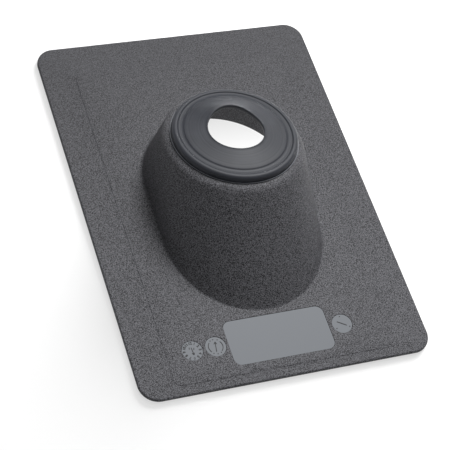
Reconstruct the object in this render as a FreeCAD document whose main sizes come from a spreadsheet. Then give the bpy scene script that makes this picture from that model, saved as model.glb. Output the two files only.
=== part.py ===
import FreeCAD, Part
import math
import os
import re

import Sketcher

# Pipe flashing boot: a moulded thermoplastic flange with an oval boot that leans towards the
# up-slope edge, and an elastomer sealing collar that grips the boot's round rim.
# Millimetres, +Z up. The origin is the middle of the flange's underside, +Y points up the roof.

Vector = FreeCAD.Vector
Placement = FreeCAD.Placement
Rotation = FreeCAD.Rotation
xAxis = Vector(1, 0, 0)

doc = FreeCAD.newDocument("PipeFlashingBoot")
sheet = doc.addObject("Spreadsheet::Sheet", "Sizes")

sizes = [
    # flange
    ("flange_width", 235), ("flange_length", 324), ("flange_thickness", 3),
    ("flange_corner", 15), ("flange_edge", 1.2),
    # raised field inside the nailing margin
    ("field_side_margin", 27), ("field_top_margin", 28.5), ("field_low_margin", 8),
    ("field_rise", 0.4), ("field_corner", 6),
    # boot
    ("wall", 2.5), ("foot_radius", 64.5), ("foot_low", 35.5), ("foot_high", 14.5),
    ("foot_flare", 2.4), ("head_radius", 54), ("head_flat", 1), ("foot_turn", 45), ("head_turn", 38.7),
    ("shoulder_strip", 4.1), ("shoulder_ease", 1.6), ("inner_strip", 3),
    # plane of the rim and collar
    ("rim_offset", 19.8), ("rim_height", 54), ("rim_tilt", 10), ("rim_radius", 44),
    # sealing collar, radii and heights measured along the tilted axis from the rim's top face
    ("seat_gap", 0.1), ("lip_radius", 50.4), ("lip_thickness", 0.9), ("bead_radius", 49.6),
    ("bead_width", 5.2), ("bead_height", 6), ("bead_round", 3.2), ("bead_inner_round", 1.3), ("shelf_radius", 40.6),
    ("shelf_height", 4.4), ("web_thickness", 2.4), ("barb_radius", 48), ("barb_thickness", 2.2),
    ("step_height", 5.3), ("cone_thickness", 1.8), ("cone_sections", 14),
    # hole for the pipe and its rounded edge
    ("hole_radius", 21.9), ("hole_stock", 0.4), ("hole_edge", 3.2), ("edge_depth", 6.1),
    ("edge_low", 9.4), ("edge_side", 8.4), ("edge_high", 16), ("edge_lean", 0.9),
    # smooth marking fields near the low edge
    ("mark_depth", 0.3), ("mark_row", 128), ("label_width", 82), ("label_height", 37), ("label_corner", 6),
    ("dial_radius", 8), ("dial_outer", 69.7), ("dial_inner", 51.2), ("dial_right", 52.1),
]
for row, (alias, value) in enumerate(sizes, start=1):
    sheet.set("A%d" % row, alias)
    sheet.set("B%d" % row, str(value))
    sheet.setAlias("B%d" % row, alias)
doc.recompute()


def size(alias):
    return float(sheet.get(alias))


def ref(text):
    # writes Sizes. before every alias in an expression
    aliases = "|".join(alias for alias, value in sizes)
    return re.sub(r"\b(%s)\b" % aliases, r"Sizes.\1", text)


def newBody(label):
    body = doc.addObject("PartDesign::Body", label)
    body.Label = label
    return body


def originPlane(body, role):
    return next(item for item in body.Origin.OriginFeatures if item.Role == role)


def newSketch(body, name, height="0", role="XY_Plane"):
    # a sketch on a plane of its own body, at a height above it
    sketch = body.newObject("Sketcher::SketchObject", name)
    sketch.AttachmentSupport = [(originPlane(body, role), "")]
    sketch.MapMode = "FlatFace"
    sketch.setExpression("AttachmentOffset.Base.z", ref(height))
    return sketch


def constrain(sketch, name, expression, *arguments):
    index = sketch.addConstraint(Sketcher.Constraint(*arguments))
    sketch.renameConstraint(index, name)
    sketch.setExpression("Constraints." + name, ref(expression))


def rectangleOutline(sketch, width, low, high):
    # rectangle centred on the y axis, reaching low below the x axis and high above it
    x, y0, y1 = 10, -10, 10
    points = [Vector(-x, y0), Vector(x, y0), Vector(x, y1), Vector(-x, y1)]
    for start, end in zip(points, points[1:] + points[:1]):
        sketch.addGeometry(Part.LineSegment(start, end))
    for index in range(4):
        sketch.addConstraint(Sketcher.Constraint("Coincident", index, 2, (index + 1) % 4, 1))
    sketch.addConstraint(Sketcher.Constraint("Vertical", 1))
    sketch.addConstraint(Sketcher.Constraint("Vertical", 3))
    sketch.addConstraint(Sketcher.Constraint("Horizontal", 2))
    sketch.addConstraint(Sketcher.Constraint("Symmetric", 0, 1, 0, 2, -2))
    constrain(sketch, "width", width, "DistanceX", 0, 1, 0, 2, 20)
    constrain(sketch, "low", low, "DistanceY", 0, 1, -1, 1, 10)
    constrain(sketch, "high", high, "DistanceY", -1, 1, 2, 1, 10)


def circleOutline(sketch, radius, x="0", y="0"):
    sketch.addGeometry(Part.Circle(Vector(1, 1), Vector(0, 0, 1), 5))
    constrain(sketch, "radius", radius, "Radius", 0, 5)
    constrain(sketch, "across", x, "DistanceX", -1, 1, 0, 3, 1)
    constrain(sketch, "along", y, "DistanceY", -1, 1, 0, 3, 1)


def bindToRim(feature, depth="0"):
    # places a feature on the rim's tilted axis, a depth below the rim's top face
    feature.setExpression("Placement.Rotation.Angle", ref("-1 * rim_tilt"))
    feature.setExpression("Placement.Base.y", ref("rim_offset - %s * sin(rim_tilt)" % depth))
    feature.setExpression("Placement.Base.z", ref("rim_height - %s * cos(rim_tilt)" % depth))


def bind(feature, **expressions):
    for name, expression in expressions.items():
        feature.setExpression(name, ref(expression))
    return feature


def edgesWhere(shape, test):
    return ["Edge%d" % (i + 1) for i, edge in enumerate(shape.Edges) if test(edge)]


def fillet(body, name, base, edges, radius):
    feature = body.newObject("PartDesign::Fillet", name)
    feature.Base = (base, edges)
    bind(feature, Radius=radius)
    doc.recompute()
    return feature


def chamfer(body, name, base, edges, width):
    feature = body.newObject("PartDesign::Chamfer", name)
    feature.Base = (base, edges)
    bind(feature, Size=width)
    doc.recompute()
    return feature


def buildFlange():
    body = newBody("Flange")
    near = 0.01
    top = size("flange_thickness")
    raised = top + size("field_rise")

    outline = newSketch(body, "FlangeOutline")
    rectangleOutline(outline, "flange_width", "flange_length / 2", "flange_length / 2")
    plate = body.newObject("PartDesign::Pad", "FlangePlate")
    plate.Profile = outline
    bind(plate, Length="flange_thickness")
    doc.recompute()
    corners = fillet(body, "FlangeCorners", plate,
                     edgesWhere(plate.Shape, lambda e: e.BoundBox.ZLength > near), "flange_corner")
    chamfer(body, "FlangeEdge", corners,
           edgesWhere(corners.Shape, lambda e: e.BoundBox.ZMin > top - near), "flange_edge")

    fieldOutline = newSketch(body, "FieldOutline", "flange_thickness - field_rise")
    rectangleOutline(fieldOutline, "flange_width - 2 * field_side_margin",
                     "flange_length / 2 - field_low_margin", "flange_length / 2 - field_top_margin")
    field = body.newObject("PartDesign::Pad", "RaisedField")
    field.Profile = fieldOutline
    bind(field, Length="2 * field_rise")
    doc.recompute()
    fillet(body, "FieldCorners", field,
           edgesWhere(field.Shape, lambda e: isUpright(e) and e.BoundBox.ZMax > raised - near),
           "field_corner")

    labelOutline = newSketch(body, "LabelOutline", "flange_thickness + field_rise")
    rectangleOutline(labelOutline, "label_width", "mark_row + label_height / 2",
                     "label_height / 2 - mark_row")
    label = body.newObject("PartDesign::Pocket", "LabelField")
    label.Profile = labelOutline
    bind(label, Length="mark_depth")
    doc.recompute()
    fillet(body, "LabelCorners", label,
           edgesWhere(label.Shape, lambda e: isUpright(e) and e.BoundBox.ZMax > raised - near
                      and abs(e.BoundBox.Center.x) < size("label_width") / 2 + near), "label_corner")
    for name, place in (("Outer", "-1 * dial_outer"), ("Inner", "-1 * dial_inner"), ("Right", "dial_right")):
        dialOutline = newSketch(body, "DialOutline" + name, "flange_thickness + field_rise")
        circleOutline(dialOutline, "dial_radius", place, "-1 * mark_row")
        dial = body.newObject("PartDesign::Pocket", "Dial" + name)
        dial.Profile = dialOutline
        bind(dial, Length="mark_depth")
        doc.recompute()
    return body


def isUpright(edge):
    box = edge.BoundBox
    return isinstance(edge.Curve, Part.Line) and box.XLength < 0.001 and box.YLength < 0.001


def obroundWire(side, low, high, turn, place):
    # closed outline in the plane of place: half circles of radius side at its low and high ends,
    # joined by straight flanks; the low one is divided at its middle and at a turn to either side
    lowCentre, highCentre = low + side, high - side
    turns = [-90, -turn, 0, turn, 90]

    def onLow(angle):
        return Vector(side * math.sin(math.radians(angle)), lowCentre - side * math.cos(math.radians(angle)))

    edges = [Part.Arc(onLow(start), onLow((start + end) / 2), onLow(end)) for start, end in zip(turns, turns[1:])]
    edges += [
        Part.LineSegment(Vector(side, lowCentre), Vector(side, highCentre)),
        Part.Arc(Vector(side, highCentre), Vector(0, high), Vector(-side, highCentre)),
        Part.LineSegment(Vector(-side, highCentre), Vector(-side, lowCentre)),
    ]
    wire = Part.Wire([edge.toShape() for edge in edges])
    wire.Placement = place
    return wire


def edgesOf(shape, outline):
    # the edges of a shape that run from corner to corner of an outline
    ends = [vertex.Point for vertex in outline.Vertexes]
    return [edge for edge in shape.Edges
            if all(min(vertex.Point.distanceToPoint(end) for end in ends) < 0.01 for vertex in edge.Vertexes)]


def taperedSolid(foot, head, ease):
    # solid between two outlines, with a sloped strip of the size ease around its head
    solid = Part.makeLoft([foot, head], True, True)
    return solid.makeChamfer(ease, edgesOf(solid, head))


def stripEdges(solid, head, depth):
    # the long edges of the strip around a head: all within a depth below the head's plane
    plane = head.Placement.inverse()
    return [edge for edge in solid.Edges if edge.Length > 1
            and all(-depth < plane.multVec(vertex.Point).z < 0.01 for vertex in edge.Vertexes)
            and abs(plane.multVec(edge.Vertexes[0].Point).z - plane.multVec(edge.Vertexes[-1].Point).z) < 1]


def innerRail(foot, head, wall, ceiling, normal):
    # the line from foot to head in an upright plane, moved inwards by the wall and cut off at
    # height 0 and at the ceiling; points are (outward distance, height)
    along = (head - foot).normalize()
    inward = Vector(-along.y, along.x, 0)
    start = foot + inward * wall
    low = start - along * (start.y / along.y)
    high = start + along * ((ceiling - start).dot(normal) / along.dot(normal))
    return low, high


def buildBase():
    flange = buildFlange()
    raised = size("flange_thickness") + size("field_rise")
    wall = size("wall")
    tilt = math.radians(size("rim_tilt"))
    side, headSide = size("foot_radius"), size("head_radius")
    footLow, footHigh = -size("foot_low") - side, size("foot_high") + side
    headEnd = headSide + size("head_flat")
    rimCentre = Vector(0, size("rim_offset"), size("rim_height"))
    rimPlace = Placement(rimCentre, Rotation(xAxis, -size("rim_tilt")))

    outer = doc.addObject("Part::Feature", "BootOutside")
    footTurn, headTurn = size("foot_turn"), size("head_turn")
    foot = obroundWire(side, footLow, footHigh, footTurn, Placement(Vector(0, 0, raised), Rotation()))
    head = obroundWire(headSide, -headEnd, headEnd, headTurn, rimPlace)
    strip = taperedSolid(foot, head, size("shoulder_strip"))
    outer.Shape = strip.makeChamfer(size("shoulder_ease"), stripEdges(strip, head, 2 * size("shoulder_strip")))

    # rails of the hollow: at the sides, at the low end and at the high end
    ceiling = Vector(0, rimCentre.z - wall * math.cos(tilt), 0)
    sideFoot, sideHead = innerRail(Vector(side, raised, 0), Vector(headSide, rimCentre.z, 0),
                                   wall, ceiling, Vector(0, 1, 0))
    rails = {}
    for end, reach, sign in (("low", footLow, -1), ("high", footHigh, 1)):
        upper = rimPlace.multVec(Vector(0, sign * headEnd, 0))
        middle = rimPlace.multVec(Vector(0, 0, -wall))
        rails[end] = innerRail(Vector(sign * reach, raised, 0), Vector(sign * upper.y, upper.z, 0), wall,
                               Vector(sign * middle.y, middle.z, 0),
                               Vector(sign * math.sin(tilt), math.cos(tilt), 0))
    ceilingPlace = Placement(rimPlace.multVec(Vector(0, 0, -wall)), rimPlace.Rotation)
    headEnds = {end: (rails[end][1].x * sign - ceilingPlace.Base.y) / math.cos(tilt)
                for end, sign in (("low", -1), ("high", 1))}
    inner = doc.addObject("Part::Feature", "BootHollow")
    inner.Shape = taperedSolid(
        obroundWire(sideFoot.x, -rails["low"][0].x, rails["high"][0].x, footTurn, Placement()),
        obroundWire(sideHead.x, headEnds["low"], headEnds["high"], headTurn, ceilingPlace), size("inner_strip"))

    solid = doc.addObject("Part::Fuse", "FlangeAndBoot")
    solid.Base = flange
    solid.Tool = outer
    doc.recompute()

    flare = [edge.hashCode() for edge in edgesOf(solid.Shape, foot)]
    footEdges = [(index + 1, size("foot_flare"), size("foot_flare"))
                 for index, edge in enumerate(solid.Shape.Edges) if edge.hashCode() in flare]
    rounded = doc.addObject("Part::Chamfer", "FootFlare")
    rounded.Base = solid
    rounded.Edges = footEdges
    hollow = doc.addObject("Part::Cut", "HollowBoot")
    hollow.Base = rounded
    hollow.Tool = inner
    opening = doc.addObject("Part::Cylinder", "RimOpening")
    opening.Placement = Placement(Vector(0, 0, 0), Rotation(xAxis, -1))
    bind(opening, Radius="rim_radius", Height="4 * wall")
    bindToRim(opening, "2 * wall")
    base = doc.addObject("Part::Cut", "flashing_base")
    base.Label = "flashing_base"
    base.Base = hollow
    base.Tool = opening
    doc.recompute()
    return base


def polygonOutline(sketch, corners):
    # closed outline through corners given as pairs of expressions, each corner held by its own sizes
    values = [(doc.Sizes.evalExpression(ref(x)), doc.Sizes.evalExpression(ref(y))) for x, y in corners]
    points = [Vector(float(x), float(y)) for x, y in values]
    for start, end in zip(points, points[1:] + points[:1]):
        sketch.addGeometry(Part.LineSegment(start, end))
    for index in range(len(points)):
        sketch.addConstraint(Sketcher.Constraint("Coincident", index, 2, (index + 1) % len(points), 1))
    for index, (x, y) in enumerate(corners):
        constrain(sketch, "r%d" % index, x, "DistanceX", -1, 1, index, 1, points[index].x)
        constrain(sketch, "h%d" % index, y, "DistanceY", -1, 1, index, 1, points[index].y)


def coneSection(angle):
    # section of the cone membrane at an angle around the axis, 0 at the low side: from inside
    # the ring to the thick edge of the hole, which rises and leans out towards the high side
    turn = math.cos(angle)
    rise = abs(turn) ** 3 if turn < 0 else 0
    crest = size("edge_side") + (size("edge_high") - size("edge_side")) * rise
    if turn > 0:
        crest += (size("edge_low") - size("edge_side")) * turn ** 2
    low = crest - size("edge_depth") + (size("edge_depth") - size("hole_edge")) * rise
    inner = size("hole_radius") - size("hole_stock") + size("edge_lean") * rise
    half = size("hole_edge") / 2
    root, rootTop = size("shelf_radius"), size("step_height")
    points = [(root, rootTop - size("cone_thickness")), (root, rootTop)]
    points += [(inner + half + half * math.cos(bend), crest - half + half * math.sin(bend))
               for bend in (0, math.pi / 3, 2 * math.pi / 3, math.pi)]
    points += [(inner, low), (inner + 2 * half, low)]
    corners = [Vector(radius * math.sin(angle), -radius * turn, height) for radius, height in points]
    return Part.makePolygon(corners + corners[:1])


def buildCollar():
    ring = newBody("CollarRing")
    outline = newSketch(ring, "RingOutline", role="XZ_Plane")
    polygonOutline(outline, [
        ("lip_radius", "seat_gap"),
        ("lip_radius", "seat_gap + lip_thickness"),
        ("bead_radius", "seat_gap + lip_thickness"),
        ("bead_radius", "bead_height - bead_round"),
        ("bead_radius - bead_round * (1 - sqrt(0.5))", "bead_height - bead_round * (1 - sqrt(0.5))"),
        ("bead_radius - bead_round", "bead_height"),
        ("bead_radius - bead_width + bead_inner_round", "bead_height"),
        ("bead_radius - bead_width", "bead_height - bead_inner_round"),
        ("bead_radius - bead_width", "shelf_height"),
        ("shelf_radius - web_thickness / 2", "shelf_height"),
        ("rim_radius - seat_gap - web_thickness", "shelf_height - web_thickness"),
        ("rim_radius - seat_gap - web_thickness", "-1 * wall - seat_gap - barb_thickness"),
        ("barb_radius", "-1 * wall - seat_gap"),
        ("rim_radius - seat_gap", "-1 * wall - seat_gap"),
        ("rim_radius - seat_gap", "seat_gap"),
    ])
    revolved = ring.newObject("PartDesign::Revolution", "Ring")
    revolved.Profile = outline
    revolved.ReferenceAxis = (outline, ["V_Axis"])
    revolved.Angle = 360
    doc.recompute()

    count = round(size("cone_sections"))
    sections = [coneSection(2 * math.pi * index / count) for index in range(count)]
    cone = doc.addObject("Part::Feature", "CollarCone")
    cone.Shape = Part.makeLoft(sections, True, True, True)

    collar = doc.addObject("Part::Fuse", "CollarBlank")
    collar.Base = ring
    collar.Tool = cone
    doc.recompute()
    cutter = doc.addObject("Part::Cylinder", "PipeHole")
    bind(cutter, Radius="hole_radius", Height="2 * edge_high")
    cut = doc.addObject("Part::Cut", "sealing_collar")
    cut.Label = "sealing_collar"
    cut.Base = collar
    cut.Tool = cutter
    cut.Placement = Placement(Vector(0, 0, 0), Rotation(xAxis, -1))
    bindToRim(cut)
    doc.recompute()
    return cut


pieces = [buildBase(), buildCollar()]
doc.recompute()

for item in doc.Objects:
    if {"Invalid", "Error"} & set(item.State):
        raise RuntimeError("%s failed: %s" % (item.Name, item.State))
os.makedirs("parts", exist_ok=True)
for piece in pieces:
    shape = piece.Shape
    if shape.isNull() or not shape.isValid() or len(shape.Solids) != 1:
        raise RuntimeError("%s is not one valid solid" % piece.Label)
    shape.exportStep("parts/%s.step" % piece.Label)
    print(piece.Label, "volume %.0f mm3" % shape.Volume, shape.BoundBox)
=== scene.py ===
import bpy
import bmesh
import math
from mathutils import Matrix, Vector


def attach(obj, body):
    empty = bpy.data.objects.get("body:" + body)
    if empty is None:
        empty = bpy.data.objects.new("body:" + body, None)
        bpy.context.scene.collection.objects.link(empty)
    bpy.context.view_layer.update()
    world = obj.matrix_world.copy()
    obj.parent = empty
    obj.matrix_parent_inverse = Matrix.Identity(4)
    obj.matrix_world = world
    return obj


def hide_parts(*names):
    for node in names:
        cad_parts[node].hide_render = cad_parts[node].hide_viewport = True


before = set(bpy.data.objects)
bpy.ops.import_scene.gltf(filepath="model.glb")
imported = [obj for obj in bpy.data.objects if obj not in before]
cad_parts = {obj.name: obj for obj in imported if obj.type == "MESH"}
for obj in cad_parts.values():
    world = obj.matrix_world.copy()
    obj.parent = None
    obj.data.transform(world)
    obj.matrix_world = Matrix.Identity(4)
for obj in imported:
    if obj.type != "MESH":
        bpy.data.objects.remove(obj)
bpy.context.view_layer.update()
mm = 0.001
weldGap = 0.0005  # corners nearer to each other than this, in millimetres, become one

# The pieces' sizes are in millimetres, and a mesh is brought to metres when it is finished.
# The boot's rim and the collar share one tilted axis.
rim = {"offset": 19.8, "height": 54.0, "tilt": 10.0, "radius": 44.0}
rimTurn = Matrix.Rotation(math.radians(-rim["tilt"]), 4, "X")
rimPlace = Matrix.Translation((0, rim["offset"], rim["height"])) @ rimTurn


def smoothShare(share):
    # a share from 0 to 1 that eases in and out
    return share * share * (3 - 2 * share)


def linearColour(text):
    # sRGB hex to the linear values that a shader takes
    channels = [int(text[i:i + 2], 16) / 255 for i in (1, 3, 5)]
    return [c / 12.92 if c <= 0.04045 else ((c + 0.055) / 1.055) ** 2.4 for c in channels] + [1.0]


def finishPiece(name, bm, materials, replaced=None, sharpAngle=32):
    # brings a mesh to metres, marks its sharp edges and hands it to the frame
    bmesh.ops.remove_doubles(bm, verts=bm.verts, dist=weldGap)
    bmesh.ops.recalc_face_normals(bm, faces=bm.faces)
    bmesh.ops.scale(bm, vec=(mm, mm, mm), verts=bm.verts)
    for face in bm.faces:
        face.smooth = True
    for edge in bm.edges:
        edge.smooth = len(edge.link_faces) == 2 and edge.calc_face_angle(0.0) < math.radians(sharpAngle)
    mesh = bpy.data.meshes.new(name)
    bm.to_mesh(mesh)
    bm.free()
    piece = bpy.data.objects.new(name, mesh)
    bpy.context.scene.collection.objects.link(piece)
    for material in materials:
        mesh.materials.append(material)
    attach(piece, "root")
    if replaced:
        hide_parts(replaced)
    print(name, "faces", len(mesh.polygons))
    return piece


def newRing(bm, places):
    # a closed ring of corners at the places
    ring = bmesh.ops.create_circle(bm, segments=len(places), radius=1)["verts"]
    for vert, place in zip(ring, places):
        vert.co = place
    return ring


def ringEdges(ring):
    members = set(ring)
    return list({edge for vert in ring for edge in vert.link_edges if edge.other_vert(vert) in members})


def nextRing(bm, ring, places):
    # extrudes a closed ring of corners and puts the new ones where places says
    grown = bmesh.ops.extrude_edge_only(bm, edges=ringEdges(ring))["geom"]
    fresh = {v for v in grown if isinstance(v, bmesh.types.BMVert)}
    above = {}
    for vert in ring:
        for edge in vert.link_edges:
            if edge.other_vert(vert) in fresh:
                above[vert] = edge.other_vert(vert)
    result = [above[vert] for vert in ring]
    for vert, place in zip(result, places):
        vert.co = place
    return result


def easedCorner(before, corner, after, radius, steps):
    # points of an arc that eases a corner between two straight lines
    a, b = (before - corner).normalized(), (after - corner).normalized()
    half = a.angle(b) / 2
    reach = radius / math.tan(half)
    centre = corner + (a + b).normalized() * radius / math.sin(half)
    start, end = corner + a * reach - centre, corner + b * reach - centre
    return [centre + start.slerp(end, step / steps, start) * radius for step in range(steps + 1)]


# Flange and boot, one moulding. Every outline has the same number of corners, in the same order.
base = {
    "width": 235.0, "length": 324.0, "thickness": 3.0, "corner": 15.0, "leastCorner": 0.5, "cornerSteps": 16,
    "edge": 1.3, "edgeSteps": 5, "underEase": 0.4,
    "fieldSide": 27.0, "fieldTop": 28.5, "fieldLow": 8.0, "fieldRise": 0.4, "fieldCorner": 6.0,
    "fieldEase": 0.9, "fieldSteps": 4,
    "footSide": 64.5, "footLow": -100.0, "footLowEnd": 69.6, "footHigh": 79.0,
    "footEase": 2.6, "footRun": 20.0, "footSteps": 6,
    "wall": 2.5, "wallSteps": 14,
    "headSide": 54.0, "headEnd": 55.0, "shoulder": 8.7, "shoulderSteps": 10, "rimEase": 0.5, "rimSteps": 3,
    "innerShoulder": 4.5, "innerSteps": 6, "innerSpread": 1.15,
    "flankSteps": 24, "arcSteps": 96,
}


def obround(side, low, high, place, lowEnd=None):
    # right flank, high end, left flank, low end, which may be drawn out longer than a half circle
    flank, arc = base["flankSteps"], base["arcSteps"]
    points = []
    for step in range(flank):
        points.append(Vector((side, low + side + (high - low - 2 * side) * step / flank, 0)))
    for step in range(arc):
        turn = math.pi * step / arc
        points.append(Vector((side * math.cos(turn), high - side + side * math.sin(turn), 0)))
    for step in range(flank):
        points.append(Vector((-side, high - side - (high - low - 2 * side) * step / flank, 0)))
    for step in range(arc):
        turn = math.pi * step / arc
        points.append(Vector((-side * math.cos(turn), low + side - (lowEnd or side) * math.sin(turn), 0)))
    return [place @ point for point in points]


def roundedRectangle(right, low, high, corner, height, inset=0.0):
    # starts on the right side, level with the first corner of the boot's foot, and has as many corners
    right, low, high = right - inset, low + inset, high - inset
    corner = max(corner - inset, base["leastCorner"])
    turnSteps = base["cornerSteps"]
    stride = turnSteps + 1
    count = 2 * (base["flankSteps"] + base["arcSteps"])
    centres = [(right - corner, high - corner, 0), (-right + corner, high - corner, 90),
               (-right + corner, low + corner, 180), (right - corner, low + corner, 270)]
    path = [Vector((right, base["footLow"] + base["footSide"], height))]
    for x, y, start in centres:
        for step in range(stride):
            turn = math.radians(start + 90 * step / turnSteps)
            path.append(Vector((x + corner * math.cos(turn), y + corner * math.sin(turn), height)))
    # the sides take the corners that the turns leave over
    sides = [(path[0], path[1])] + [(path[stride * i], path[stride * i + 1]) for i in (1, 2, 3)]
    sides.append((path[stride * 4], path[0]))
    lengths = [(b - a).length for a, b in sides]
    spare = count - 4 * stride - 1
    shares = [int(spare * length / sum(lengths)) for length in lengths]
    shares[1] += spare - sum(shares)
    points = [path[0]]
    for index, ((a, b), share) in enumerate(zip(sides, shares)):
        points += [a.lerp(b, step / (share + 1)) for step in range(1, share + 1)]
        points += path[stride * index + 1:stride * (index + 1) + 1]
    return points


# Smooth marking fields near the low edge, sunk into the raised field. A stroke runs between two points, given from
# the middle of its dial, and angles are in degrees.
marks = {
    "row": -128.0, "depth": 0.3, "ease": 0.3,
    "labelWidth": 82.0, "labelHeight": 37.0, "labelCorner": 6.0, "labelSteps": 12,
    "dialRadius": 8.0, "dialSteps": 48, "dials": {"outer": -69.7, "inner": -51.2, "right": 52.1},
    "markHeight": 0.16, "sink": 0.02, "stroke": 0.55, "bold": 1.2,
    "numeralSize": 2.9, "numeralRing": 6.15, "numeralWeight": 0.1,
    "outerStrokes": ((-0.1, 2.6, 0.4, -3.4), (0.4, -3.4, -0.7, -1.9), (0.4, -3.4, 1.1, -1.8),
                     (-1.9, 1.5, -1.5, 3.0), (1.4, 0.6, 1.9, 2.2)),
    "innerStrokes": ((0.6, 3.8, -0.5, -4.2), (0.6, 3.8, -0.7, 2.2), (0.6, 3.8, 1.4, 2.0)),
    "innerArcs": ((136, 222), (-48, 40)), "innerArcRing": 5.6, "innerArcSteps": 10,
    "innerDots": (62, 95, 118, -62, -90, -120), "innerDotRing": 6, "innerDot": 0.42,
    "rightStroke": (-3.5, 2.4, 3.3, -1.9),
    "rightDots": (89, -149, -32), "rightDotRing": 6.3, "rightDot": 0.45, "dotSteps": 16,
}


def labelOutline(height, inset):
    halfWidth, halfHeight = marks["labelWidth"] / 2 - inset, marks["labelHeight"] / 2 - inset
    corner, steps = marks["labelCorner"] - inset, marks["labelSteps"]
    points = []
    for x, y, start in ((1, 1, 0), (-1, 1, 90), (-1, -1, 180), (1, -1, 270)):
        for step in range(steps + 1):
            turn = math.radians(start + 90 * step / steps)
            points.append(Vector((x * (halfWidth - corner) + corner * math.cos(turn),
                                  marks["row"] + y * (halfHeight - corner) + corner * math.sin(turn), height)))
    return points


def dialOutline(x, height, inset):
    radius = marks["dialRadius"] - inset
    turns = [math.tau * step / marks["dialSteps"] for step in range(marks["dialSteps"])]
    return [Vector((x + radius * math.cos(turn), marks["row"] + radius * math.sin(turn), height))
            for turn in turns]


def buildBase(materials):
    sizes = base
    top = sizes["thickness"]
    raised = top + sizes["fieldRise"]
    wall = sizes["wall"]
    right, end = sizes["width"] / 2, sizes["length"] / 2
    upright = Matrix.Translation((0, 0, raised))
    footSide, footLow, footHigh = sizes["footSide"], sizes["footLow"], sizes["footHigh"]
    foot = obround(footSide, footLow, footHigh, upright, sizes["footLowEnd"])
    head = obround(sizes["headSide"], -sizes["headEnd"], sizes["headEnd"], rimPlace)
    flat = [rimPlace.inverted() @ point for point in head]
    rimHole = [rimPlace @ Vector((rim["radius"] * math.cos(turn), rim["radius"] * math.sin(turn), 0))
               for turn in [math.atan2(point.y, point.x) for point in flat]]
    down = rimPlace.to_3x3() @ Vector((0, 0, -wall))
    columns = []
    # each column runs from the flange up the wall, over the shoulder and back down the hollow
    for f, h, c in zip(foot, head, rimHole):
        centreY = max(footLow + footSide, min(footHigh - footSide, f.y))
        outward = Vector((f.x, f.y - centreY, 0)).normalized()
        column = easedCorner(f + outward * sizes["footRun"], f, h, sizes["footEase"], sizes["footSteps"])
        wallStart = column[-1]
        shoulder = easedCorner(f, h, c, sizes["shoulder"], sizes["shoulderSteps"])
        column += [wallStart.lerp(shoulder[0], step / sizes["wallSteps"])
                   for step in range(1, sizes["wallSteps"])]
        column += shoulder
        column += easedCorner(h, c, c + down, sizes["rimEase"], sizes["rimSteps"])
        column.append(c + down)
        # the hollow's wall runs parallel to the outer one
        slope = (h - f).normalized()
        inward = -(outward - slope * outward.dot(slope)).normalized()
        innerHead = h + down + (c - h).normalized() * wall * sizes["innerSpread"]
        innerFoot = f + inward * wall
        innerFoot -= slope * (innerFoot.z / slope.z)
        column += easedCorner(c + down, innerHead, innerFoot, sizes["innerShoulder"], sizes["innerSteps"])
        column.append(innerFoot)
        columns.append(column)
    # the flange's outlines, from the underside round its edge and up on to the raised field
    edge, underEase = sizes["edge"], sizes["underEase"]
    outlines = [roundedRectangle(right, -end, end, sizes["corner"], 0.0, underEase),
                roundedRectangle(right, -end, end, sizes["corner"], underEase)]
    for step in range(sizes["edgeSteps"] + 1):
        turn = math.radians(90 * step / sizes["edgeSteps"])
        height, inset = top - edge * (1 - math.sin(turn)), edge * (1 - math.cos(turn))
        outlines.append(roundedRectangle(right, -end, end, sizes["corner"], height, inset))
    fieldRight, fieldLow = right - sizes["fieldSide"], -end + sizes["fieldLow"]
    fieldHigh = end - sizes["fieldTop"]
    for step in range(sizes["fieldSteps"] + 1):
        share = step / sizes["fieldSteps"]
        height, inset = top + sizes["fieldRise"] * smoothShare(share), sizes["fieldEase"] * (share - 0.5)
        outlines.append(roundedRectangle(fieldRight, fieldLow, fieldHigh, sizes["fieldCorner"], height, inset))
    bm = bmesh.new()
    under = newRing(bm, outlines[0])
    field = under
    for places in outlines[1:]:
        field = nextRing(bm, field, places)
    levels = [list(paintedShadeLevel) for paintedShadeLevel in zip(*columns)]
    boot = newRing(bm, levels[0])
    hollow = boot
    for places in levels[1:]:
        hollow = nextRing(bm, hollow, places)
    bmesh.ops.bridge_loops(bm, edges=ringEdges(under) + ringEdges(hollow))

    # the top of the raised field, left open where the smooth marking fields sink into it
    bedHeight, ease = raised - marks["depth"], marks["ease"]
    sunk = [newRing(bm, labelOutline(raised, -ease))]
    sunk += [newRing(bm, dialOutline(x, raised, -ease)) for x in marks["dials"].values()]
    borders = [border for ring in [field, boot] + sunk for border in ringEdges(ring)]
    bmesh.ops.triangle_fill(bm, use_beauty=True, edges=borders, normal=(0, 0, 1))
    floors = [labelOutline(bedHeight, 0)] + [dialOutline(x, bedHeight, 0) for x in marks["dials"].values()]
    for ring, places in zip(sunk, floors):
        # side walls painted dark as painted shade, and a bed painted paler as painted sheen
        bed = nextRing(bm, ring, places)
        for face in {face for corner in bed for face in corner.link_faces}:
            face.material_index = 2
        for face in bmesh.ops.contextual_create(bm, geom=ringEdges(bed))["faces"]:
            face.material_index = 1
    return finishPiece("flangeAndBoot", bm, materials, "flashing_base", 40)


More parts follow.
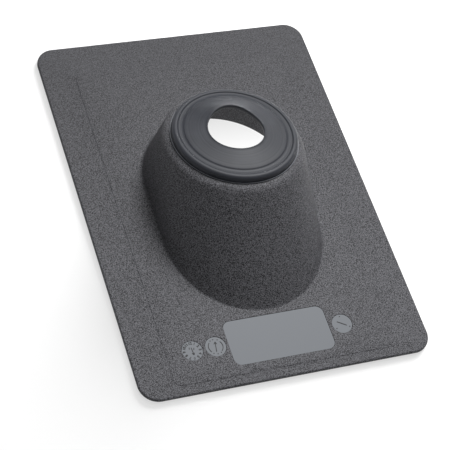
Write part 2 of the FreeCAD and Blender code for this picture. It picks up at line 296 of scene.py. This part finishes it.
# Sealing collar, turned about the tilted axis. Heights are from the rim's top face. Pairs hold what is added to a
# band's radius and height at its corners, and the neck's pairs are the radius and height themselves.
collar = {
    "lipRadius": 50.4, "lipTop": 1.0, "lipLow": -0.9, "lipRound": 0.3, "lipSteps": 3, "paintedHighlightFrom": 0.3,
    "beadRadius": 49.5, "beadTop": 5.88, "beadRound": 2.9, "beadSteps": 8,
    "beadFoot": ((0.1, -0.25), (-0.3, 0.0), (0.0, 0.9)),
    "beadInner": 44.4, "beadInnerRound": 1.4, "beadInnerTurn": 150, "beadInnerSteps": 5,
    "shelf": 5.3, "shelfCorner": ((-0.2, 0.1), (-0.6, 0.0)),
    "shelfEdge": 40.6, "stepFoot": ((0.3, 0.0), (0.0, 0.2)),
    "step": 5.75, "stepCorner": ((-0.1, -0.3), (-0.45, 0.0)), "stepRun": 0.45,
    "hole": 21.9, "edge": 0.7, "edgeRun": 1.2, "edgeTurn": 75, "edgeSteps": 6,
    "edgeBack": ((0.0, -2.6), (0.4, -3.4)),
    "edgeLow": 10.15, "edgeSide": 8.8, "edgeHigh": 12.5, "edgeLean": 0.5, "curl": 0.9,
    "coneSag": 0.25, "coneSteps": 14, "backDrop": 3.0, "backSteps": 10, "membrane": 1.8,
    "neck": ((41.5, 2.0), (41.5, -4.8), (48.0, -2.75), (48.0, -2.6), (43.9, -2.6), (43.9, 0.1)),
    "steps": 192,
}


def arcPoints(x, z, radius, start, end, steps):
    turns = [math.radians(start + (end - start) * i / steps) for i in range(steps + 1)]
    return [Vector((x + radius * math.cos(turn), 0, z + radius * math.sin(turn))) for turn in turns]


def cornersNear(x, z, pairs):
    return [Vector((x + right, 0, z + up)) for right, up in pairs]


def buildCollar(materials):
    s = collar
    crown = s["edgeSide"]
    start, stop = s["shelfEdge"] - s["stepRun"], s["hole"] + s["edgeRun"]
    lipRound, beadRound, innerRound = s["lipRound"], s["beadRound"], s["beadInnerRound"]
    # the upper side, from the lip inwards
    outline = [Vector((s["lipRadius"], 0, s["lipLow"]))]
    outline += arcPoints(s["lipRadius"] - lipRound, s["lipTop"] - lipRound, lipRound, 0, 90, s["lipSteps"])
    outline += cornersNear(s["beadRadius"], s["lipTop"], s["beadFoot"])
    outline += arcPoints(s["beadRadius"] - beadRound, s["beadTop"] - beadRound, beadRound,
                         0, 90, s["beadSteps"])
    outline += arcPoints(s["beadInner"] + innerRound, s["beadTop"] - innerRound, innerRound,
                         90, s["beadInnerTurn"], s["beadInnerSteps"])
    outline += cornersNear(s["beadInner"], s["shelf"], s["shelfCorner"])
    outline += cornersNear(s["shelfEdge"], s["shelf"], s["stepFoot"])
    outline += cornersNear(s["shelfEdge"], s["step"], s["stepCorner"])
    count, climb = s["coneSteps"], crown - s["step"]
    outline += [Vector((start + (stop - start) * i / count, 0,
                        s["step"] + climb * i / count - s["coneSag"] * i / count)) for i in range(1, count + 1)]
    # the edge of the hole, then the back of the cone, the neck and the barb
    outline += arcPoints(s["hole"] + s["edge"], crown - s["edge"], s["edge"],
                         s["edgeTurn"], 180, s["edgeSteps"])
    outline += cornersNear(s["hole"], crown, s["edgeBack"])
    count, fall = s["backSteps"], s["step"] - s["membrane"] - crown + s["backDrop"]
    outline += [Vector((stop - (stop - start) * i / count, 0, crown - s["backDrop"] + fall * i / count))
                for i in range(count)]
    outline += cornersNear(0, 0, s["neck"])
    bm = bmesh.new()
    corners = [bm.verts.new(point) for point in outline]
    edges = [bm.edges.new((a, b)) for a, b in zip(corners, corners[1:] + corners[:1])]
    bmesh.ops.spin(bm, geom=corners + edges, cent=(0, 0, 0), axis=(0, 0, 1), angle=math.tau,
                   steps=s["steps"], use_merge=True)
    # the edge of the hole rises most towards the roof's high side and leans out there, and the cone follows it
    for vert in bm.verts:
        radius = math.hypot(vert.co.x, vert.co.y)
        reach = (start - radius) / (start - stop)
        if reach <= 0 or vert.co.z < 0:
            continue
        turn = -vert.co.y / radius
        rise = abs(turn) ** 3 if turn < 0 else 0
        crest = s["edgeSide"] + (s["edgeHigh"] - s["edgeSide"]) * rise
        crest += (s["edgeLow"] - s["edgeSide"]) * turn ** 2 if turn > 0 else 0
        vert.co.z += (crest - crown) * min(reach, 1) ** (1 + s["curl"] * rise)
        lean = 1 + s["edgeLean"] * rise * min(reach, 1) / radius
        vert.co.x *= lean
        vert.co.y *= lean
    # the lip's thin edge is painted a shade paler, a painted highlight
    for face in bm.faces:
        middle = face.calc_center_median()
        if math.hypot(middle.x, middle.y) > s["beadRadius"] and middle.z > s["paintedHighlightFrom"]:
            face.material_index = 1
    bmesh.ops.transform(bm, matrix=rimPlace, verts=bm.verts)
    return finishPiece("collarRing", bm, materials, "sealing_collar", 50)


def addNode(tree, kind, settings=None, **links):
    # adds a node, sets its properties or sockets, and joins the sockets that are given an output; _0 is socket 0
    node = tree.nodes.new(kind)
    for name, value in (settings or {}).items():
        if name in node.bl_rna.properties.keys():
            setattr(node, name, value)
        else:
            node.inputs[int(name) if name.isdigit() else name].default_value = value
    for name, source in links.items():
        tree.links.new(source, node.inputs[int(name[1:]) if name[1:].isdigit() else name.replace("_", " ")])
    return node


def newMaterial(name, **values):
    material = bpy.data.materials.new(name)
    material.use_nodes = True
    tree = material.node_tree
    shader = tree.nodes["Principled BSDF"]
    for key, value in values.items():
        shader.inputs[key.replace("_", " ")].default_value = value
    place = addNode(tree, "ShaderNodeTexCoord").outputs["Object"]
    return material, tree, shader, place


def grainedPolypropylene():
    # Injection moulded in a spark-eroded tool: dull dark grey, with a pebbled grain whose crests are painted paler
    # as fine pale specks, the grain's own tone with a painted highlight on its crests over a bump of the same
    # grain. The grain is fainter towards the high edge, and its tone is painted a shade darker there as painted
    # shade.
    material, tree, shader, place = newMaterial("grainedPolypropylene", Roughness=0.62)
    shader.inputs["Specular IOR Level"].default_value = 0.15
    pebble = 0.62 * mm
    # turned, so that no flat face lies along the pattern's own planes
    turned = addNode(tree, "ShaderNodeMapping", {"Rotation": (0.61, 0.43, 0.27)}, Vector=place)
    cells = addNode(tree, "ShaderNodeTexNoise", {"Scale": 1 / pebble, "Detail": 0.8, "Roughness": 0.5},
                    Vector=turned.outputs["Vector"])
    side = addNode(tree, "ShaderNodeSeparateXYZ", Vector=place)
    depth = addNode(tree, "ShaderNodeMapRange",
                    {"From Min": -100 * mm, "From Max": 150 * mm, "To Min": 1.15, "To Max": 0.35},
                    Value=side.outputs["Y"])
    centred = addNode(tree, "ShaderNodeMath", {"operation": "SUBTRACT", "1": 0.5}, _0=cells.outputs["Fac"])
    # painted shade: the tone is lowered towards the high edge
    paintedShadeLevel = addNode(tree, "ShaderNodeMapRange",
                    {"From Min": -150 * mm, "From Max": 160 * mm, "To Min": 0.532, "To Max": 0.478},
                    Value=side.outputs["Y"])
    grainAndPaintedShade = addNode(tree, "ShaderNodeMath", {"operation": "MULTIPLY_ADD"}, _0=centred.outputs[0],
                    _1=depth.outputs["Result"], _2=paintedShadeLevel.outputs["Result"])
    # the ramp paints the grain's crests paler, a painted highlight
    tone = addNode(tree, "ShaderNodeValToRGB", Fac=grainAndPaintedShade.outputs[0])
    tone.color_ramp.elements[0].position = 0.395
    tone.color_ramp.elements[0].color = linearColour("#1a1a1c")
    tone.color_ramp.elements[1].position = 0.63
    tone.color_ramp.elements[1].color = linearColour("#636367")
    tree.links.new(tone.outputs["Color"], shader.inputs["Base Color"])
    bump = addNode(tree, "ShaderNodeBump", {"Strength": 0.6, "Distance": 0.2 * mm}, Height=grainAndPaintedShade.outputs[0])
    tree.links.new(bump.outputs["Normal"], shader.inputs["Normal"])
    return material


def polishedPolypropylene():
    # The same plastic from a polished face of the tool: smooth, with its base colour painted paler than the
    # grained plastic's, a painted sheen of the soft light.
    material, _, shader, _ = newMaterial("polishedPolypropylene", Roughness=0.5)
    shader.inputs["Specular IOR Level"].default_value = 0.3
    # painted sheen: a paler base colour than the grained plastic's
    shader.inputs["Base Color"].default_value = linearColour("#50545a")
    return material


def markingPolypropylene():
    # Strokes of the dials, moulded proud of their bed and painted dark, a painted shade that makes them read
    # darker than it; the same dark colour is painted on the sunk fields' side walls as painted shade.
    material, _, shader, _ = newMaterial("paintedShadePolypropylene", Roughness=0.7)
    # painted shade: a near-black colour for the marks and the pocket walls
    shader.inputs["Base Color"].default_value = linearColour("#151618")
    return material


def collarElastomer():
    # Soft thermoplastic elastomer: smooth blue-grey with a broad, soft sheen, slightly clouded and with faint
    # rings about the hole.
    material, tree, shader, place = newMaterial("smoothElastomer", Roughness=0.5)
    shader.inputs["Specular IOR Level"].default_value = 0.2
    cloudSize, ringSize, middle = 14 * mm, 1.1 * mm, rimPlace.translation * mm
    cloud = addNode(tree, "ShaderNodeTexNoise", {"Scale": 1 / cloudSize, "Detail": 2.0}, Vector=place)
    away = addNode(tree, "ShaderNodeVectorMath", {"operation": "DISTANCE", "1": middle}, _0=place)
    rings = addNode(tree, "ShaderNodeTexNoise", {"noise_dimensions": "1D", "Scale": 1 / ringSize, "Detail": 1.0},
                    W=away.outputs["Value"])
    both = addNode(tree, "ShaderNodeMix", {"Factor": 0.6}, _2=cloud.outputs["Fac"], _3=rings.outputs["Fac"])
    tone = addNode(tree, "ShaderNodeValToRGB", Fac=both.outputs[0])
    tone.color_ramp.elements[0].position = 0.3
    tone.color_ramp.elements[0].color = linearColour("#27292e")
    tone.color_ramp.elements[1].position = 0.7
    tone.color_ramp.elements[1].color = linearColour("#33353b")
    tree.links.new(tone.outputs["Color"], shader.inputs["Base Color"])
    return material


def paleElastomer():
    # The collar's elastomer where the lip thins out: painted a shade paler, a painted highlight.
    material, _, shader, _ = newMaterial("paleElastomer", Roughness=0.5)
    # painted highlight: a paler colour on the lip's edge
    shader.inputs["Base Color"].default_value = linearColour("#595c62")
    return material


def strokeBox(bm, start, end, width, low, high):
    # a straight stroke between two points, as a block from low to high
    start, end = Vector((*start, 0)), Vector((*end, 0))
    along, middle = end - start, (start + end) / 2
    turn = math.atan2(along.y, along.x)
    place = Matrix.Translation((middle.x, middle.y, (low + high) / 2)) @ Matrix.Rotation(turn, 4, "Z")
    bmesh.ops.create_cube(bm, size=1, matrix=place @ Matrix.Diagonal((along.length, width, high - low, 1)))


def ringDot(bm, x, ring, angle, radius, low, high):
    # a round dot on a ring about a dial's middle
    turn = math.radians(angle)
    x, y = x + ring * math.cos(turn), marks["row"] + ring * math.sin(turn)
    place = Matrix.Translation((x, y, (low + high) / 2))
    bmesh.ops.create_cone(bm, cap_ends=True, segments=marks["dotSteps"], radius1=radius, radius2=radius,
                          depth=high - low, matrix=place)


def numeral(bm, text, x, y, turn, low, high):
    # a digit or two of the built-in typeface, made a mesh before it is placed
    curve = bpy.data.curves.new("numeral", "FONT")
    curve.body = text
    curve.size = marks["numeralSize"]
    curve.extrude = (high - low) / 2
    curve.offset = marks["numeralWeight"]
    curve.align_x, curve.align_y = "CENTER", "CENTER"
    holder = bpy.data.objects.new("numeral", curve)
    bpy.context.scene.collection.objects.link(holder)
    bpy.context.view_layer.update()
    mesh = bpy.data.meshes.new_from_object(holder.evaluated_get(bpy.context.evaluated_depsgraph_get()))
    mesh.transform(Matrix.Translation((x, y, (low + high) / 2)) @ Matrix.Rotation(turn, 4, "Z"))
    bm.from_mesh(mesh)
    bpy.data.objects.remove(holder)
    bpy.data.meshes.remove(mesh)
    bpy.data.curves.remove(curve)


def buildDialMarks(materials):
    low = base["thickness"] + base["fieldRise"] - marks["depth"] - marks["sink"]
    high = low + marks["markHeight"] + marks["sink"]
    row, width = marks["row"], marks["stroke"]
    bm = bmesh.new()
    # outer dial: twelve numerals round the edge and a slender arrow
    x, ring = marks["dials"]["outer"], marks["numeralRing"]
    for hour in range(1, 13):
        turn = math.radians(90 - 30 * hour)
        numeral(bm, str(hour), x + ring * math.cos(turn), row + ring * math.sin(turn),
                turn - math.pi / 2, low, high)
    for startX, startY, endX, endY in marks["outerStrokes"]:
        strokeBox(bm, (x + startX, row + startY), (x + endX, row + endY), width, low, high)
    # inner dial: an arrow between two arcs, with dots between
    x, ring, steps = marks["dials"]["inner"], marks["innerArcRing"], marks["innerArcSteps"]
    for startX, startY, endX, endY in marks["innerStrokes"]:
        strokeBox(bm, (x + startX, row + startY), (x + endX, row + endY), width, low, high)
    for start, end in marks["innerArcs"]:
        turns = [math.radians(start + (end - start) * step / steps) for step in range(steps + 1)]
        bend = [(x + ring * math.cos(turn), row + ring * math.sin(turn)) for turn in turns]
        for a, b in zip(bend, bend[1:]):
            strokeBox(bm, a, b, width, low, high)
    for angle in marks["innerDots"]:
        ringDot(bm, x, marks["innerDotRing"], angle, marks["innerDot"], low, high)
    # right dial: a single pointer and three dots
    x = marks["dials"]["right"]
    startX, startY, endX, endY = marks["rightStroke"]
    strokeBox(bm, (x + startX, row + startY), (x + endX, row + endY), width * marks["bold"], low, high)
    for angle in marks["rightDots"]:
        ringDot(bm, x, marks["rightDotRing"], angle, marks["rightDot"], low, high)
    return finishPiece("dialMarks", bm, materials)


grained = grainedPolypropylene()
polishedPaintedSheen = polishedPolypropylene()
paintedShadeDark = markingPolypropylene()
elastomer = collarElastomer()
paintedLipHighlight = paleElastomer()
print("materials ready", len(bpy.data.materials))
buildBase([grained, polishedPaintedSheen, paintedShadeDark])
buildDialMarks([paintedShadeDark])
buildCollar([elastomer, paintedLipHighlight])


# Studio, in metres: a pale table, a broad soft light high on the far right, a low one that only the table takes,
# for the soft shadow that the flange throws on it, and a lit panel on the table under the boot, so that its hole
# shows white.
studio = {
    "tableSize": 4, "tableHeight": -0.0004, "tableGlow": 0.63, "worldGlow": 0.285,
    "panelRadius": 0.1, "panelHeight": -0.0002, "panelSteps": 96,
    "panelFade": {"From Min": 0.02, "From Max": 0.08, "To Min": 1.16, "To Max": 0.74},
    "keyLight": {"toward": (0.4, 0.57, 1.0), "distance": 3.0, "size": 1.4, "power": 138},
    "lowLight": {"toward": (0.7, 0.75, 0.2), "distance": 2.0, "size": 1.6, "power": 1130},
}


def stagePlate(name, material, shape, height):
    mesh = bpy.data.meshes.new(name)
    shape.to_mesh(mesh)
    shape.free()
    mesh.materials.append(material)
    plate = bpy.data.objects.new(name, mesh)
    plate.location.z = height
    bpy.context.scene.collection.objects.link(plate)
    return plate


# Matt paper with a glow of its own, so that the table stays pale and only its shadows show.
paper, _, shader, _ = newMaterial("palePaper", Roughness=0.9)
shader.inputs["Base Color"].default_value = linearColour("#454545")
shader.inputs["Emission Color"].default_value = (1, 1, 1, 1)
shader.inputs["Emission Strength"].default_value = studio["tableGlow"]
bm = bmesh.new()
bmesh.ops.create_grid(bm, x_segments=1, y_segments=1, size=studio["tableSize"])
table = stagePlate("table", paper, bm, studio["tableHeight"])

# Opal sheet lit from behind, dimmer towards the high edge.
opal, tree, shader, place = newMaterial("litOpal", Roughness=0.8)
shader.inputs["Base Color"].default_value = linearColour("#202020")
shader.inputs["Emission Color"].default_value = (1, 1, 1, 1)
across = addNode(tree, "ShaderNodeSeparateXYZ", Vector=place)
fade = addNode(tree, "ShaderNodeMapRange", studio["panelFade"], Value=across.outputs["Y"])
tree.links.new(fade.outputs["Result"], shader.inputs["Emission Strength"])
bm = bmesh.new()
bmesh.ops.create_circle(bm, cap_ends=True, segments=studio["panelSteps"], radius=studio["panelRadius"])
stagePlate("litPanel", opal, bm, studio["panelHeight"])

world = bpy.data.worlds.new("studio")
bpy.context.scene.world = world
world.use_nodes = True
sky = world.node_tree.nodes["Background"]
sky.inputs["Color"].default_value = (1, 1, 1, 1)
sky.inputs["Strength"].default_value = studio["worldGlow"]
bpy.context.scene.view_settings.view_transform = "Standard"


def softLight(name, toward, distance, size, power):
    # a round soft light that shines at the middle of the object from a direction
    data = bpy.data.lights.new(name, "AREA")
    data.shape = "DISK"
    data.size = size
    data.energy = power
    light = bpy.data.objects.new(name, data)
    light.location = Vector(toward).normalized() * distance
    light.rotation_euler = (-light.location).to_track_quat("-Z", "Y").to_euler()
    bpy.context.scene.collection.objects.link(light)
    return light


softLight("keyLight", **studio["keyLight"])
lowLight = softLight("lowLight", **studio["lowLight"])
onlyTable = bpy.data.collections.new("onlyTable")
onlyTable.objects.link(table)
lowLight.light_linking.receiver_collection = onlyTable
print("studio ready, lights", len(bpy.data.lights))

# Camera: it stands off the low left corner and looks down at the boot. Its place is in metres.
view = {"azimuth": -34.590, "elevation": 54.507, "roll": 20.727, "lens": 123.30, "sensor": 36,
        "shift": (0.0570, -0.0216), "place": (-0.42412, -0.58837, 0.98040)}
azimuth, elevation = math.radians(view["azimuth"]), math.radians(view["elevation"])
forward = Vector((math.sin(-azimuth) * math.cos(elevation), math.cos(azimuth) * math.cos(elevation),
                  -math.sin(elevation)))
cameraData = bpy.data.cameras.new("camera")
cameraData.lens = view["lens"]
cameraData.sensor_width = view["sensor"]
cameraData.shift_x, cameraData.shift_y = view["shift"]
camera = bpy.data.objects.new("camera", cameraData)
aim = forward.to_track_quat("-Z", "Y").to_matrix().to_4x4()
turn = aim @ Matrix.Rotation(math.radians(view["roll"]), 4, "Z")
camera.matrix_world = Matrix.Translation(view["place"]) @ turn
bpy.context.scene.collection.objects.link(camera)
bpy.context.scene.camera = camera
print("camera ready, lens", cameraData.lens)
